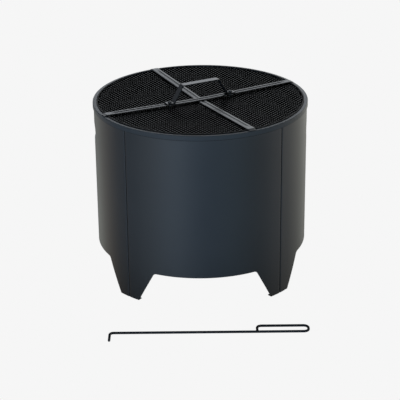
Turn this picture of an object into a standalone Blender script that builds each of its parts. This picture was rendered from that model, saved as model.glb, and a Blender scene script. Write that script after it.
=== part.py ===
"""Round steel fire pit with a mesh lid and a poker, modelled in metres with +Z up.

The barrel stands on four legs that are cut from its rolled panels. The panels are bolted
together through bent seam flanges. An inner drum hangs from their top edge, closed below by a
stepped floor that carries an ash pan and a fire grate, and a rim ring caps the wall. The lid is
a ring with a dished mesh, two crossing ribs and a strap handle. The poker lies on the floor in
front of the pit.

The origin is the middle of the whole set's footprint, on the floor. Run it with
blender --background --python part.py, or from Blender's text editor.
"""

from math import acos, asin, atan2, cos, hypot, pi, radians, sin, tan

import bmesh
import bpy
from mathutils import Matrix

# Clearances between pieces that touch on the real object
LAY_GAP = 0.0003
SLIP = 0.0005

# How sheet metal is bent and cut
CORNER_SHARE = 0.45
MERGE = 0.00001
CUT_LENGTH = 0.020
SHARP_EDGE = radians(32)

# Rim ring
RIM_RADIUS = 0.305
RIM_HEIGHT = 0.516
RIM_SHEET = 0.002
RIM_LEDGE = 0.0135
SKIRT_DROP = 0.013
SKIRT_BEND = 0.003
RIM_STEPS = 72

# Rolled panels with their legs
PANEL_SHEET = 0.002
SEAM_GAP = 0.0012
SEAM_BEND = 0.0025
SEAM_FLANGE = 0.020
FLANGE_LIFT = 0.012
ARCH_HEIGHT = 0.0955
ARCH_ROUND = 0.012
FOOT_HALF = 0.0355
LEG_HALF = 0.089
TAB_DEPTH = 0.014
TAB_START = 0.008
PANEL_COUNT = 4
ARC_STEPS = 9
LEG_STEPS = 3
CORNER_STEPS = 4
SEAM_STEPS = 3

# Hand holes in the two side panels
HAND_WIDTH = 0.100
HAND_HEIGHT = 0.050
HAND_DROP = 0.084

# Seam bolts and nuts
BOLT_RADIUS = 0.003
BOLT_HEAD_RADIUS = 0.0055
BOLT_HEAD = 0.0035
BOLT_HEAD_RIM = 0.0012
BOLT_PLAY = 0.0004
BOLT_TIP = 0.002
NUT_RADIUS = 0.0058
NUT_HEIGHT = 0.005
BOLT_EDGE = 0.007
LOW_BOLT = 0.062
HIGH_BOLT_DROP = 0.067
BOLT_SIDES = 8

# Inner drum
DRUM_SHEET = 0.0015
FLANGE_AIR = 0.0078
DRUM_FLOOR_LIFT = 0.025
DRUM_STEP = 0.055
STEP_WIDTH = 0.013
DRUM_BEND = 0.003
INLET_RADIUS = 0.060
VENT_RADIUS = 0.008
VENT_DROP = 0.036
VENT_COUNT = 16
VENT_SIDES = 8
DRUM_STEPS = 48
DRUM_BEND_STEPS = 1

# Fire grate and ash pan
GRATE_THICKNESS = 0.005
GRATE_SLIP = 0.007
GRATE_RIM = 0.018
SLOT_WIDTH = 0.016
SLOT_PITCH = 0.034
SLOT_BRIDGE = 0.030
SLOT_LEAST = 0.032
PAN_SHEET = 0.0012
PAN_SLIP = 0.004
PAN_ROOM = 0.023
PAN_LIP = 0.006
PAN_FLARE = 0.008
PAN_STEPS = 24

# Lid ring and mesh
LID_SET_IN = 0.0097
LID_RING = 0.002
MESH_LAP = 0.0015
MESH_SHEET = 0.0012
MESH_WIDE = 0.038
MESH_HIGH = 0.057
MESH_STRAND = 0.0035
MESH_BORDER = 0.005
MESH_HOLE_EDGE = 0.002
LID_TURN = radians(25.5)
MESH_TURN = radians(-27.5)
LID_STEPS = 72
LID_EDGE = 0.0005

# Crossing ribs
RIB_WIDTH = 0.022
RIB_SHEET = 0.0015
RIB_BEAD = 0.001
BEAD_FLAT = 0.005
BEAD_WIDE = 0.0075
RIB_FLAT = 0.030
RIB_SAG = 0.0057
RIB_END_PAST = 0.0015
BEAD_FADE = 0.012

# Strap handle
STRAP_WIDTH = 0.020
STRAP_SHEET = 0.003
HANDLE_TOP = 0.050
HANDLE_HALF_TOP = 0.058
HANDLE_HALF_FOOT = 0.086
HANDLE_TAB = 0.022
HANDLE_BEND = 0.007
FLANGE_NUT_RADIUS = 0.0075
FLANGE_NUT_SKIRT = 0.0012

# Poker
ROD_RADIUS = 0.0035
POKER_AWAY = 0.137
ROD_LEFT = 0.250
ROD_RIGHT = 0.287
HOOK_LENGTH = 0.042
HOOK_BEND = 0.010
LOOP_LENGTH = 0.139
LOOP_WIDTH = 0.033
LOOP_ROUND = 0.013
POKER_TURN = radians(-2.0)

# Sizes that follow from the ones above
SHELL_RADIUS = RIM_RADIUS - RIM_SHEET - SLIP
RIM_INNER = RIM_RADIUS - RIM_LEDGE
DRUM_TOP = RIM_HEIGHT - RIM_SHEET - LAY_GAP
PANEL_TOP = DRUM_TOP - DRUM_SHEET - LAY_GAP
DRUM_RADIUS = SHELL_RADIUS - SEAM_FLANGE - FLANGE_AIR
DRUM_FLOOR = ARCH_HEIGHT + DRUM_FLOOR_LIFT
GRATE_SEAT = DRUM_FLOOR + DRUM_STEP
POT_RADIUS = DRUM_RADIUS - STEP_WIDTH
MESH_RADIUS = RIM_INNER - SLIP
LID_RADIUS = RIM_RADIUS - LID_SET_IN
LID_INNER = MESH_RADIUS - MESH_LAP
LID_BASE = RIM_HEIGHT + LAY_GAP
RIB_REACH = LID_RADIUS + RIB_END_PAST
RIB_END_TOP = LID_BASE + LID_RING + LAY_GAP + RIB_SHEET
RIB_DEPTH = RIB_SHEET + RIB_BEAD
TOP_RIB_LOW = RIB_END_TOP - RIB_SAG
LOW_RIB_LOW = TOP_RIB_LOW - RIB_DEPTH - LAY_GAP
MESH_LOW = LOW_RIB_LOW - RIB_DEPTH - LAY_GAP
MESH_EDGE = LID_BASE - LAY_GAP
HANDLE_BOLT = HANDLE_HALF_FOOT + HANDLE_TAB / 2
BOLT_CIRCLE = SHELL_RADIUS - SEAM_FLANGE + BOLT_EDGE
HIGH_BOLT = PANEL_TOP - HIGH_BOLT_DROP
BOLT_LEVELS = (("low", LOW_BOLT), ("middle", (LOW_BOLT + HIGH_BOLT) / 2), ("high", HIGH_BOLT))
ROD_DISTANCE = RIM_RADIUS + POKER_AWAY
HOOK_REACH = ROD_LEFT * sin(-POKER_TURN) - (ROD_DISTANCE + HOOK_LENGTH) * cos(POKER_TURN)
AXIS_Y = -(RIM_RADIUS + HOOK_REACH) / 2


def clear_scene():
    """Remove whatever the scene holds."""
    for item in list(bpy.data.objects):
        bpy.data.objects.remove(item, do_unlink=True)


def new_collection(name):
    """Make a collection in the scene."""
    group = bpy.data.collections.new(name)
    bpy.context.scene.collection.children.link(group)
    return group


def new_material(name, colour, roughness, metallic):
    """Make a Principled BSDF material."""
    material = bpy.data.materials.new(name)
    material.use_nodes = True
    shader = material.node_tree.nodes["Principled BSDF"]
    shader.inputs["Base Color"].default_value = (*colour, 1.0)
    shader.inputs["Roughness"].default_value = roughness
    shader.inputs["Metallic"].default_value = metallic
    return material


clear_scene()
PARTS = new_collection("fire_pit")
CUTTERS = new_collection("cutters")
SLATE = new_material("slate_coat", (0.052, 0.064, 0.080), 0.45, 0.1)
RIB_COAT = new_material("rib_coat", (0.110, 0.118, 0.130), 0.42, 0.1)
BLACK = new_material("black_coat", (0.012, 0.012, 0.013), 0.60, 0.0)
STRAP_COAT = new_material("strap_coat", (0.150, 0.160, 0.175), 0.38, 0.2)
STEEL = new_material("zinc_steel", (0.350, 0.350, 0.340), 0.35, 0.9)
IRON = new_material("grate_iron", (0.030, 0.030, 0.032), 0.75, 0.2)
ROD_COAT = new_material("rod_coat", (0.040, 0.044, 0.055), 0.40, 0.1)


def empty_at(name, location, turn=0.0, parent=None):
    """Place an empty that carries other objects."""
    empty = bpy.data.objects.new(name, None)
    empty.location = location
    empty.rotation_euler = (0.0, 0.0, turn)
    empty.parent = parent
    PARTS.objects.link(empty)
    return empty


def add_part(name, mesh, material, parent, location=(0, 0, 0), rotation=(0, 0, 0)):
    """Link a named part with its material, its round faces shaded smooth."""
    part = bpy.data.objects.new(name, mesh)
    if not mesh.materials:
        mesh.materials.append(material)
    mesh.shade_smooth()
    mesh.set_sharp_from_angle(angle=SHARP_EDGE)
    part.parent = parent
    part.location = location
    part.rotation_euler = rotation
    PARTS.objects.link(part)
    return part


def add_cutter(name, mesh, parent, location=(0, 0, 0), rotation=(0, 0, 0)):
    """Link a hidden cutter."""
    cutter = bpy.data.objects.new(name, mesh)
    cutter.parent = parent
    cutter.location = location
    cutter.rotation_euler = rotation
    cutter.hide_render = True
    cutter.display_type = "WIRE"
    CUTTERS.objects.link(cutter)
    return cutter


def cut(part, cutter):
    """Cut a part with a cutter."""
    boolean = part.modifiers.new("cut_" + cutter.name, "BOOLEAN")
    boolean.operation = "DIFFERENCE"
    boolean.solver = "EXACT"
    boolean.object = cutter


def solidify(part, thickness):
    """Give an open surface its sheet thickness, on the inner side."""
    sheet = part.modifiers.new("sheet", "SOLIDIFY")
    sheet.thickness = thickness
    sheet.offset = -1.0
    sheet.use_even_offset = True


def rounded(points, radius, steps=3):
    """Return a path with its inner corners rounded, each by an arc of the given radius."""
    path = [points[0]]
    for before, corner, after in zip(points, points[1:], points[2:]):
        ax, ay = before[0] - corner[0], before[1] - corner[1]
        bx, by = after[0] - corner[0], after[1] - corner[1]
        la, lb = hypot(ax, ay), hypot(bx, by)
        ax, ay, bx, by = ax / la, ay / la, bx / lb, by / lb
        opening = acos(max(-1.0, min(1.0, ax * bx + ay * by)))
        reach = min(radius / tan(opening / 2), la * CORNER_SHARE, lb * CORNER_SHARE)
        bend = reach * tan(opening / 2)
        mx, my = ax + bx, ay + by
        scale = hypot(reach, bend) / hypot(mx, my)
        cx, cy = corner[0] + mx * scale, corner[1] + my * scale
        start = atan2(corner[1] + ay * reach - cy, corner[0] + ax * reach - cx)
        end = atan2(corner[1] + by * reach - cy, corner[0] + bx * reach - cx)
        sweep = (end - start + pi) % (2 * pi) - pi
        for step in range(steps + 1):
            angle = start + sweep * step / steps
            path.append((cx + bend * cos(angle), cy + bend * sin(angle)))
    path.append(points[-1])
    return path


def thickened(path, thickness):
    """Return the closed outline of a sheet whose middle line is the path."""
    left, right = [], []
    half = thickness / 2
    for index, (x, y) in enumerate(path):
        before = path[max(index - 1, 0)]
        after = path[min(index + 1, len(path) - 1)]
        ax, ay = x - before[0], y - before[1]
        bx, by = after[0] - x, after[1] - y
        if index == 0:
            ax, ay = bx, by
        if index == len(path) - 1:
            bx, by = ax, ay
        la, lb = hypot(ax, ay), hypot(bx, by)
        nx, ny = -(ay / la + by / lb), ax / la + bx / lb
        stretch = 2 * half / (nx * nx + ny * ny)
        left.append((x + nx * stretch, y + ny * stretch))
        right.append((x - nx * stretch, y - ny * stretch))
    return left + right[::-1]


def turned(name, outline, steps, material, parent, location=(0, 0, 0), rotation=(0, 0, 0)):
    """Turn an outline of (radius, height) points round Z with a Screw modifier."""
    mesh = bpy.data.meshes.new(name)
    count = len(outline)
    on_axis = [abs(radius) < MERGE for radius, _ in outline]
    edges = []
    for index in range(count):
        following = (index + 1) % count
        if not (on_axis[index] and on_axis[following]):
            edges.append((index, following))
    mesh.from_pydata([(radius, 0.0, height) for radius, height in outline], edges, [])
    part = add_part(name, mesh, material, parent, location, rotation)
    screw = part.modifiers.new("turn", "SCREW")
    screw.axis = "Z"
    screw.angle = 2 * pi
    screw.steps = steps
    screw.render_steps = steps
    screw.use_merge_vertices = True
    screw.merge_threshold = MERGE
    screw.use_smooth_shade = True
    part.modifiers.new("corner_shading", "WEIGHTED_NORMAL")
    return part


def circle_loop(radius, centre=(0.0, 0.0), steps=24, turn=0.0):
    """Return the points of a circle."""
    angles = [turn + 2 * pi * step / steps for step in range(steps)]
    return [(centre[0] + radius * cos(a), centre[1] + radius * sin(a)) for a in angles]


def slot_loop(length, width, centre=(0.0, 0.0), steps=5):
    """Return the points of a slot along X with round ends."""
    run, half = (length - width) / 2, width / 2
    loop = []
    for side, first in ((1, -pi / 2), (-1, pi / 2)):
        for step in range(steps + 1):
            angle = first + pi * step / steps
            loop.append((centre[0] + side * run + half * cos(angle), centre[1] + half * sin(angle)))
    return loop


def plate_mesh(name, loops, thickness):
    """Return a flat plate's mesh, centred on Z, from its outline and the outlines of its holes."""
    curve = bpy.data.curves.new(name + "_outline", "CURVE")
    curve.dimensions = "2D"
    curve.fill_mode = "BOTH"
    curve.extrude = thickness / 2
    for loop in loops:
        spline = curve.splines.new("POLY")
        spline.points.add(len(loop) - 1)
        for point, (x, y) in zip(spline.points, loop):
            point.co = (x, y, 0.0, 1.0)
        spline.use_cyclic_u = True
    guide = bpy.data.objects.new(name + "_outline", curve)
    CUTTERS.objects.link(guide)
    evaluated = guide.evaluated_get(bpy.context.evaluated_depsgraph_get())
    mesh = bpy.data.meshes.new_from_object(evaluated)
    mesh.name = name
    bpy.data.objects.remove(guide, do_unlink=True)
    work = bmesh.new()
    work.from_mesh(mesh)
    bmesh.ops.remove_doubles(work, verts=work.verts, dist=0.000001)
    bmesh.ops.recalc_face_normals(work, faces=work.faces)
    work.to_mesh(mesh)
    work.free()
    return mesh


def rods_mesh(name, places, radius, sides):
    """Return one mesh of separate round cutters, each placed by a matrix."""
    work = bmesh.new()
    for matrix in places:
        bmesh.ops.create_cone(work, cap_ends=True, segments=sides, radius1=radius,
                              radius2=radius, depth=CUT_LENGTH, matrix=matrix)
    mesh = bpy.data.meshes.new(name)
    work.to_mesh(mesh)
    work.free()
    return mesh


def round_axis(angle, distance, height, tilt):
    """Return the matrix of a rod at an angle round the axis, counted from the front.

    A tilt about X lays the rod along the radius, and a tilt about Y lays it across the radius.
    """
    place = Matrix.Rotation(angle, 4, "Z") @ Matrix.Translation((0.0, -distance, height))
    return place @ Matrix.Rotation(pi / 2, 4, tilt)


def leg_outline():
    """Return the lower edge of half a panel as (distance from the seam, height, is it on the foot)."""
    slope = atan2(ARCH_HEIGHT, LEG_HALF - FOOT_HALF)
    reach = ARCH_ROUND * tan(slope / 2)
    edge = [(TAB_START, 0.0, True), ((TAB_START + FOOT_HALF) / 2, 0.0, True), (FOOT_HALF, 0.0, True)]
    run = hypot(LEG_HALF - FOOT_HALF, ARCH_HEIGHT) - reach
    for step in range(1, LEG_STEPS):
        along = run * step / LEG_STEPS
        edge.append((FOOT_HALF + along * cos(slope), along * sin(slope), False))
    centre = (LEG_HALF + reach, ARCH_HEIGHT - ARCH_ROUND)
    for step in range(CORNER_STEPS + 1):
        angle = slope * (1 - step / CORNER_STEPS)
        edge.append((centre[0] - ARCH_ROUND * sin(angle), centre[1] + ARCH_ROUND * cos(angle), False))
    middle = SHELL_RADIUS * pi / PANEL_COUNT
    start = edge[-1][0]
    for step in range(1, ARC_STEPS + 1):
        edge.append((start + (middle - start) * step / ARC_STEPS, ARCH_HEIGHT, False))
    return edge


def panel_columns():
    """Return half a panel's plan from its middle to the end of its seam flange.

    Each column is (x, y, lower height, is it on the foot), on the sheet's outer face.
    """
    half_angle = pi / PANEL_COUNT
    columns = []
    for run, height, on_foot in reversed(leg_outline()):
        angle = half_angle - run / SHELL_RADIUS
        columns.append((SHELL_RADIUS * sin(angle), -SHELL_RADIUS * cos(angle), height, on_foot))
    along = (sin(half_angle), -cos(half_angle))
    across = (-cos(half_angle), -sin(half_angle))
    lean = asin((SEAM_GAP / 2 + SEAM_BEND) / (SHELL_RADIUS - SEAM_BEND))
    centre = ((SHELL_RADIUS - SEAM_BEND) * cos(lean), SEAM_GAP / 2 + SEAM_BEND)
    bend = []
    for step in range(SEAM_STEPS + 1):
        angle = lean - (pi / 2 + lean) * step / SEAM_STEPS
        bend.append((centre[0] + SEAM_BEND * cos(angle), centre[1] + SEAM_BEND * sin(angle)))
    bend.append((SHELL_RADIUS - SEAM_FLANGE, SEAM_GAP / 2))
    for out, aside in bend:
        x = out * along[0] + aside * across[0]
        y = out * along[1] + aside * across[1]
        columns.append((x, y, FLANGE_LIFT if (out, aside) == bend[-1] else 0.0, False))
    return columns


def panel_mesh(name):
    """Build half a panel as an open surface: wall, seam flange and foot tab."""
    columns = panel_columns()
    work = bmesh.new()
    low = [work.verts.new((x, y, height)) for x, y, height, _ in columns]
    high = [work.verts.new((x, y, PANEL_TOP)) for x, y, _, _ in columns]
    for index in range(len(columns) - 1):
        work.faces.new((low[index], low[index + 1], high[index + 1], high[index]))
    tab = {}
    for index, (x, y, _, on_foot) in enumerate(columns):
        if on_foot:
            inward = 1 - TAB_DEPTH / SHELL_RADIUS
            tab[index] = work.verts.new((x * inward, y * inward, 0.0))
    for index in tab:
        if index + 1 in tab:
            work.faces.new((low[index + 1], low[index], tab[index], tab[index + 1]))
    mesh = bpy.data.meshes.new(name)
    work.to_mesh(mesh)
    work.free()
    return mesh


def build_panels(axis):
    """Make the four panels, with bolt holes in the flanges and hand holes in two of them."""
    seams = [pi / PANEL_COUNT * (2 * index + 1) for index in range(PANEL_COUNT)]
    places = [round_axis(seam, BOLT_CIRCLE, height, "Y") for seam in seams for _, height in BOLT_LEVELS]
    holes = rods_mesh("bolt_holes", places, BOLT_RADIUS + BOLT_PLAY, BOLT_SIDES)
    hole_cutter = add_cutter("bolt_hole_cutter", holes, axis)
    hand = plate_mesh("hand_hole", [slot_loop(HAND_WIDTH, HAND_HEIGHT, steps=8)], CUT_LENGTH)
    plain = panel_mesh("panel")
    for index, name in enumerate(("front_panel", "right_panel", "rear_panel", "left_panel")):
        turn = index * 2 * pi / PANEL_COUNT
        panel = add_part(name, plain, SLATE, axis, rotation=(0.0, 0.0, turn))
        mirror = panel.modifiers.new("mirror", "MIRROR")
        mirror.use_axis = (True, False, False)
        mirror.merge_threshold = MERGE
        solidify(panel, PANEL_SHEET)
        cut(panel, hole_cutter)
        if index % 2:
            where = (SHELL_RADIUS * sin(turn), -SHELL_RADIUS * cos(turn), RIM_HEIGHT - HAND_DROP)
            cut(panel, add_cutter(name + "_hand_cutter", hand, axis, where, (pi / 2, 0.0, turn)))


def bolt_outline(seat, tip):
    """Return a domed bolt's profile, with the underside of its head and its tip at these heights."""
    dome = BOLT_HEAD - BOLT_HEAD_RIM
    shoulder = (BOLT_HEAD_RADIUS * cos(pi / 4), seat + BOLT_HEAD_RIM + dome * sin(pi / 4))
    return [(0.0, seat + BOLT_HEAD), shoulder, (BOLT_HEAD_RADIUS, seat + BOLT_HEAD_RIM),
            (BOLT_HEAD_RADIUS, seat), (BOLT_RADIUS, seat), (BOLT_RADIUS, tip), (0.0, tip)]


def build_seam_bolts(axis):
    """Make three bolts and nuts for each seam, across its two flanges."""
    stack = 2 * PANEL_SHEET + SEAM_GAP
    seat = stack / 2 + LAY_GAP
    bolt = bolt_outline(seat, -(seat + NUT_HEIGHT + BOLT_TIP))
    hexagon = circle_loop(NUT_RADIUS, steps=6)
    nut_mesh = plate_mesh("seam_nut", [hexagon, circle_loop(BOLT_RADIUS + BOLT_PLAY, steps=BOLT_SIDES)],
                          NUT_HEIGHT)
    nut_offset = seat + NUT_HEIGHT / 2
    corners = ("front_right", "rear_right", "rear_left", "front_left")
    for index, corner in enumerate(corners):
        seam = pi / PANEL_COUNT * (2 * index + 1)
        carrier = empty_at("seam_" + corner, (0.0, 0.0, 0.0), seam, axis)
        for level, height in BOLT_LEVELS:
            label = corner + "_" + level
            turned("seam_bolt_" + label, bolt, BOLT_SIDES, STEEL, carrier,
                   (0.0, -BOLT_CIRCLE, height), (0.0, pi / 2, 0.0))
            add_part("seam_nut_" + label, nut_mesh, STEEL, carrier,
                     (-nut_offset, -BOLT_CIRCLE, height), (0.0, pi / 2, 0.0))


def build_rim(axis):
    """Make the rim ring: a flat ledge and a short skirt round the panels."""
    middle = RIM_SHEET / 2
    path = [(RIM_INNER, RIM_HEIGHT - middle), (RIM_RADIUS - middle, RIM_HEIGHT - middle),
            (RIM_RADIUS - middle, RIM_HEIGHT - SKIRT_DROP)]
    outline = thickened(rounded(path, SKIRT_BEND - middle, 2), RIM_SHEET)
    turned("rim_ring", outline, RIM_STEPS, SLATE, axis)


def build_drum(axis):
    """Make the inner drum's rolled wall, with the flange that it hangs by and its vents."""
    middle = DRUM_SHEET / 2
    wall = DRUM_RADIUS - middle
    path = [(SHELL_RADIUS - LAY_GAP, DRUM_TOP - middle), (wall, DRUM_TOP - middle),
            (wall, GRATE_SEAT + LAY_GAP)]
    outline = thickened(rounded(path, DRUM_BEND, DRUM_BEND_STEPS), DRUM_SHEET)
    drum = turned("fire_drum", outline, DRUM_STEPS, BLACK, axis)
    places = [round_axis(2 * pi * (index + 0.5) / VENT_COUNT, wall, DRUM_TOP - VENT_DROP, "X")
              for index in range(VENT_COUNT)]
    vents = rods_mesh("vents", places, VENT_RADIUS, VENT_SIDES)
    cut(drum, add_cutter("vent_cutter", vents, axis))


def build_drum_floor(axis):
    """Make the pressed floor under the drum's wall: grate step, pot and air inlet."""
    middle = DRUM_SHEET / 2
    pot = POT_RADIUS - middle
    path = [(DRUM_RADIUS, GRATE_SEAT - middle), (pot, GRATE_SEAT - middle), (pot, DRUM_FLOOR + middle),
            (INLET_RADIUS, DRUM_FLOOR + middle)]
    outline = thickened(rounded(path, DRUM_BEND, DRUM_BEND_STEPS), DRUM_SHEET)
    turned("drum_floor", outline, DRUM_STEPS, BLACK, axis)


def build_grate(axis):
    """Make the fire grate: a round iron plate with parallel slots on each side of a bridge."""
    radius = DRUM_RADIUS - DRUM_SHEET - GRATE_SLIP
    loops = [circle_loop(radius, steps=DRUM_STEPS)]
    rows = int((radius - GRATE_RIM - SLOT_WIDTH / 2) / SLOT_PITCH)
    for row in range(-rows, rows + 1):
        y = row * SLOT_PITCH
        far = abs(y) + SLOT_WIDTH / 2
        reach = (max((radius - GRATE_RIM) ** 2 - far ** 2, 0.0)) ** 0.5
        length = reach - SLOT_BRIDGE / 2
        if length > SLOT_LEAST:
            for side in (-1, 1):
                x = side * (SLOT_BRIDGE / 2 + length / 2)
                loops.append(slot_loop(length, SLOT_WIDTH, (x, y), 3))
    mesh = plate_mesh("fire_grate", loops, GRATE_THICKNESS)
    add_part("fire_grate", mesh, IRON, axis, (0.0, 0.0, GRATE_SEAT + LAY_GAP + GRATE_THICKNESS / 2))


def build_ash_pan(axis):
    """Make the ash pan: a flared round pan with an outward lip, on the drum's floor."""
    middle = PAN_SHEET / 2
    base = DRUM_FLOOR + DRUM_SHEET + LAY_GAP + middle
    lip = POT_RADIUS - DRUM_SHEET - PAN_SLIP
    wall = lip - PAN_LIP
    top = GRATE_SEAT - PAN_ROOM
    path = [(lip, top), (wall, top), (wall - PAN_FLARE, base), (0.0, base)]
    outline = thickened(rounded(path, DRUM_BEND, DRUM_BEND_STEPS), PAN_SHEET)
    turned("ash_pan", outline, PAN_STEPS, BLACK, axis)


def rib_height(run, low):
    """Return a rib's top height at a distance from the middle of the lid."""
    share = max(0.0, abs(run) - RIB_FLAT) / (LID_INNER - RIB_FLAT)
    return low + (RIB_END_TOP - low) * min(share, 1.0)


def mesh_height(radius):
    """Return the height of the dished mesh's top face at a radius."""
    return MESH_LOW + (MESH_EDGE - MESH_LOW) * (radius / MESH_RADIUS) ** 2


def build_lid_ring(lid):
    """Make the flat ring that frames the mesh and lies on the rim."""
    outline = [(LID_INNER, LID_RING), (LID_RADIUS - LID_EDGE, LID_RING), (LID_RADIUS, LID_RING - LID_EDGE),
               (LID_RADIUS, 0.0), (LID_INNER, 0.0)]
    turned("lid_ring", outline, LID_STEPS, BLACK, lid, (0.0, 0.0, LID_BASE))


def diamond_distance(x, y, half_wide, half_high):
    """Return how far a point lies from the sides of a diamond round the origin, below zero inside it."""
    share = abs(x) / half_wide + abs(y) / half_high
    return (share - 1) * half_wide * half_high / hypot(half_wide, half_high)


def build_spark_mesh(lid):
    """Make the dished mesh with staggered diamond openings and two holes for the handle bolts."""
    loops = [circle_loop(MESH_RADIUS, steps=LID_STEPS)]
    bolts = [(side * HANDLE_BOLT * cos(MESH_TURN), -side * HANDLE_BOLT * sin(MESH_TURN)) for side in (-1, 1)]
    bolt_hole = BOLT_RADIUS + 2 * BOLT_PLAY
    half_wide, half_high = MESH_WIDE / 2 - MESH_STRAND, MESH_HIGH / 2 - MESH_STRAND
    rows = int(MESH_RADIUS / (MESH_HIGH / 2)) + 1
    columns = int(MESH_RADIUS / MESH_WIDE) + 1
    for row in range(-rows, rows + 1):
        for column in range(-columns, columns + 1):
            x = (column + 0.5 * (row % 2)) * MESH_WIDE
            y = row * MESH_HIGH / 2
            corners = [(x + half_wide, y), (x, y + half_high), (x - half_wide, y), (x, y - half_high)]
            inside = all(hypot(*corner) < LID_INNER - MESH_BORDER for corner in corners)
            apart = [diamond_distance(bx - x, by - y, half_wide, half_high) for bx, by in bolts]
            near_bolt = min(apart) < bolt_hole + MESH_HOLE_EDGE
            if inside and not near_bolt:
                loops.append(corners)
    for bolt in bolts:
        loops.append(circle_loop(bolt_hole, bolt, BOLT_SIDES))
    mesh = plate_mesh("spark_mesh", loops, MESH_SHEET)
    for vertex in mesh.vertices:
        vertex.co.z += mesh_height(hypot(vertex.co.x, vertex.co.y)) - MESH_SHEET / 2
    add_part("spark_mesh", mesh, BLACK, lid, rotation=(0.0, 0.0, MESH_TURN))


def rib_mesh(name, low):
    """Build a rib's top face: a strip along X with a pressed bead that fades at its ends."""
    stations = [RIB_REACH, LID_INNER, LID_INNER - BEAD_FADE, LID_INNER - 2 * BEAD_FADE,
                LID_INNER / 2, RIB_FLAT]
    runs = [-run for run in stations] + [0.0] + stations[::-1]
    across = (-RIB_WIDTH / 2, -BEAD_WIDE / 2, -BEAD_FLAT / 2, BEAD_FLAT / 2, BEAD_WIDE / 2, RIB_WIDTH / 2)
    work = bmesh.new()
    rows = []
    for run in runs:
        full = min(1.0, max(0.0, (LID_INNER - BEAD_FADE - abs(run)) / BEAD_FADE))
        row = []
        for aside in across:
            depth = RIB_BEAD * full if abs(aside) <= BEAD_FLAT / 2 + 1e-9 else 0.0
            row.append(work.verts.new((run, aside, rib_height(run, low) - depth)))
        rows.append(row)
    for here, there in zip(rows, rows[1:]):
        for index in range(len(across) - 1):
            work.faces.new((here[index], there[index], there[index + 1], here[index + 1]))
    mesh = bpy.data.meshes.new(name)
    work.to_mesh(mesh)
    work.free()
    return mesh


def build_ribs(lid):
    """Make the two ribs. The upper one carries the handle and crosses over the lower one."""
    lower = add_part("lower_rib", rib_mesh("lower_rib", LOW_RIB_LOW), RIB_COAT, lid,
                     rotation=(0.0, 0.0, pi / 2))
    solidify(lower, RIB_SHEET)
    upper = add_part("upper_rib", rib_mesh("upper_rib", TOP_RIB_LOW), RIB_COAT, lid)
    solidify(upper, RIB_SHEET)
    places = [Matrix.Translation((side * HANDLE_BOLT, 0.0, RIB_END_TOP)) for side in (-1, 1)]
    holes = rods_mesh("handle_holes", places, BOLT_RADIUS + BOLT_PLAY, BOLT_SIDES)
    return upper, add_cutter("handle_hole_cutter", holes, lid)


def foot_height(run):
    """Return the underside height of the handle's foot at a distance from the middle."""
    return rib_height(run, TOP_RIB_LOW) + LAY_GAP


def build_handle(lid, upper_rib, hole_cutter):
    """Make the strap handle, with its two bolts and flange nuts, on the upper rib."""
    middle = STRAP_SHEET / 2
    end, foot, top = HANDLE_HALF_FOOT + HANDLE_TAB, HANDLE_HALF_FOOT, HANDLE_HALF_TOP
    grip = RIM_HEIGHT + HANDLE_TOP - middle
    path = [(end, foot_height(end) + middle), (foot, foot_height(foot) + middle), (top, grip), (0.0, grip)]
    half = rounded(path, HANDLE_BEND, 4)[:-1]
    whole = half + [(-x, z) for x, z in reversed(half)]
    mesh = plate_mesh("lid_handle", [thickened(whole, STRAP_SHEET)], STRAP_WIDTH)
    handle = add_part("lid_handle", mesh, STRAP_COAT, lid, rotation=(pi / 2, 0.0, 0.0))
    cut(handle, hole_cutter)
    cut(upper_rib, hole_cutter)
    seat = foot_height(HANDLE_BOLT) + STRAP_SHEET + 2 * LAY_GAP
    under = mesh_height(HANDLE_BOLT - FLANGE_NUT_RADIUS) - MESH_SHEET - LAY_GAP
    skirt = under - FLANGE_NUT_SKIRT
    bolt = bolt_outline(seat, skirt - NUT_HEIGHT - BOLT_TIP)
    bore = BOLT_RADIUS + BOLT_PLAY
    nut = [(bore, under), (FLANGE_NUT_RADIUS, under), (FLANGE_NUT_RADIUS, skirt), (NUT_RADIUS, skirt),
           (NUT_RADIUS, skirt - NUT_HEIGHT), (bore, skirt - NUT_HEIGHT)]
    for label, x in (("left", -HANDLE_BOLT), ("right", HANDLE_BOLT)):
        turned("handle_bolt_" + label, bolt, BOLT_SIDES, STRAP_COAT, lid, (x, 0.0, 0.0))
        turned("handle_nut_" + label, nut, BOLT_SIDES, STEEL, lid, (x, 0.0, 0.0))


def build_poker(axis):
    """Make the poker: one rod with a hook at its tip and a closed loop as its grip."""
    carrier = empty_at("poker_turn", (0.0, 0.0, 0.0), POKER_TURN, axis)
    front, back = -ROD_DISTANCE, -ROD_DISTANCE + LOOP_WIDTH
    loop_left = ROD_RIGHT - LOOP_LENGTH
    hook = rounded([(-ROD_LEFT, front - HOOK_LENGTH), (-ROD_LEFT, front), (0.0, front)], HOOK_BEND, 4)
    grip = rounded([(0.0, front), (ROD_RIGHT, front), (ROD_RIGHT, back), (loop_left, back),
                    (loop_left, front + 2 * ROD_RADIUS + LAY_GAP)], LOOP_ROUND, 5)
    path = hook + grip[1:]
    curve = bpy.data.curves.new("poker", "CURVE")
    curve.dimensions = "3D"
    curve.bevel_depth = ROD_RADIUS
    curve.bevel_resolution = 2
    curve.use_fill_caps = True
    spline = curve.splines.new("POLY")
    spline.points.add(len(path) - 1)
    for point, (x, y) in zip(spline.points, path):
        point.co = (x, y, ROD_RADIUS, 1.0)
    curve.materials.append(ROD_COAT)
    poker = bpy.data.objects.new("poker", curve)
    poker.parent = carrier
    PARTS.objects.link(poker)


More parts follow.
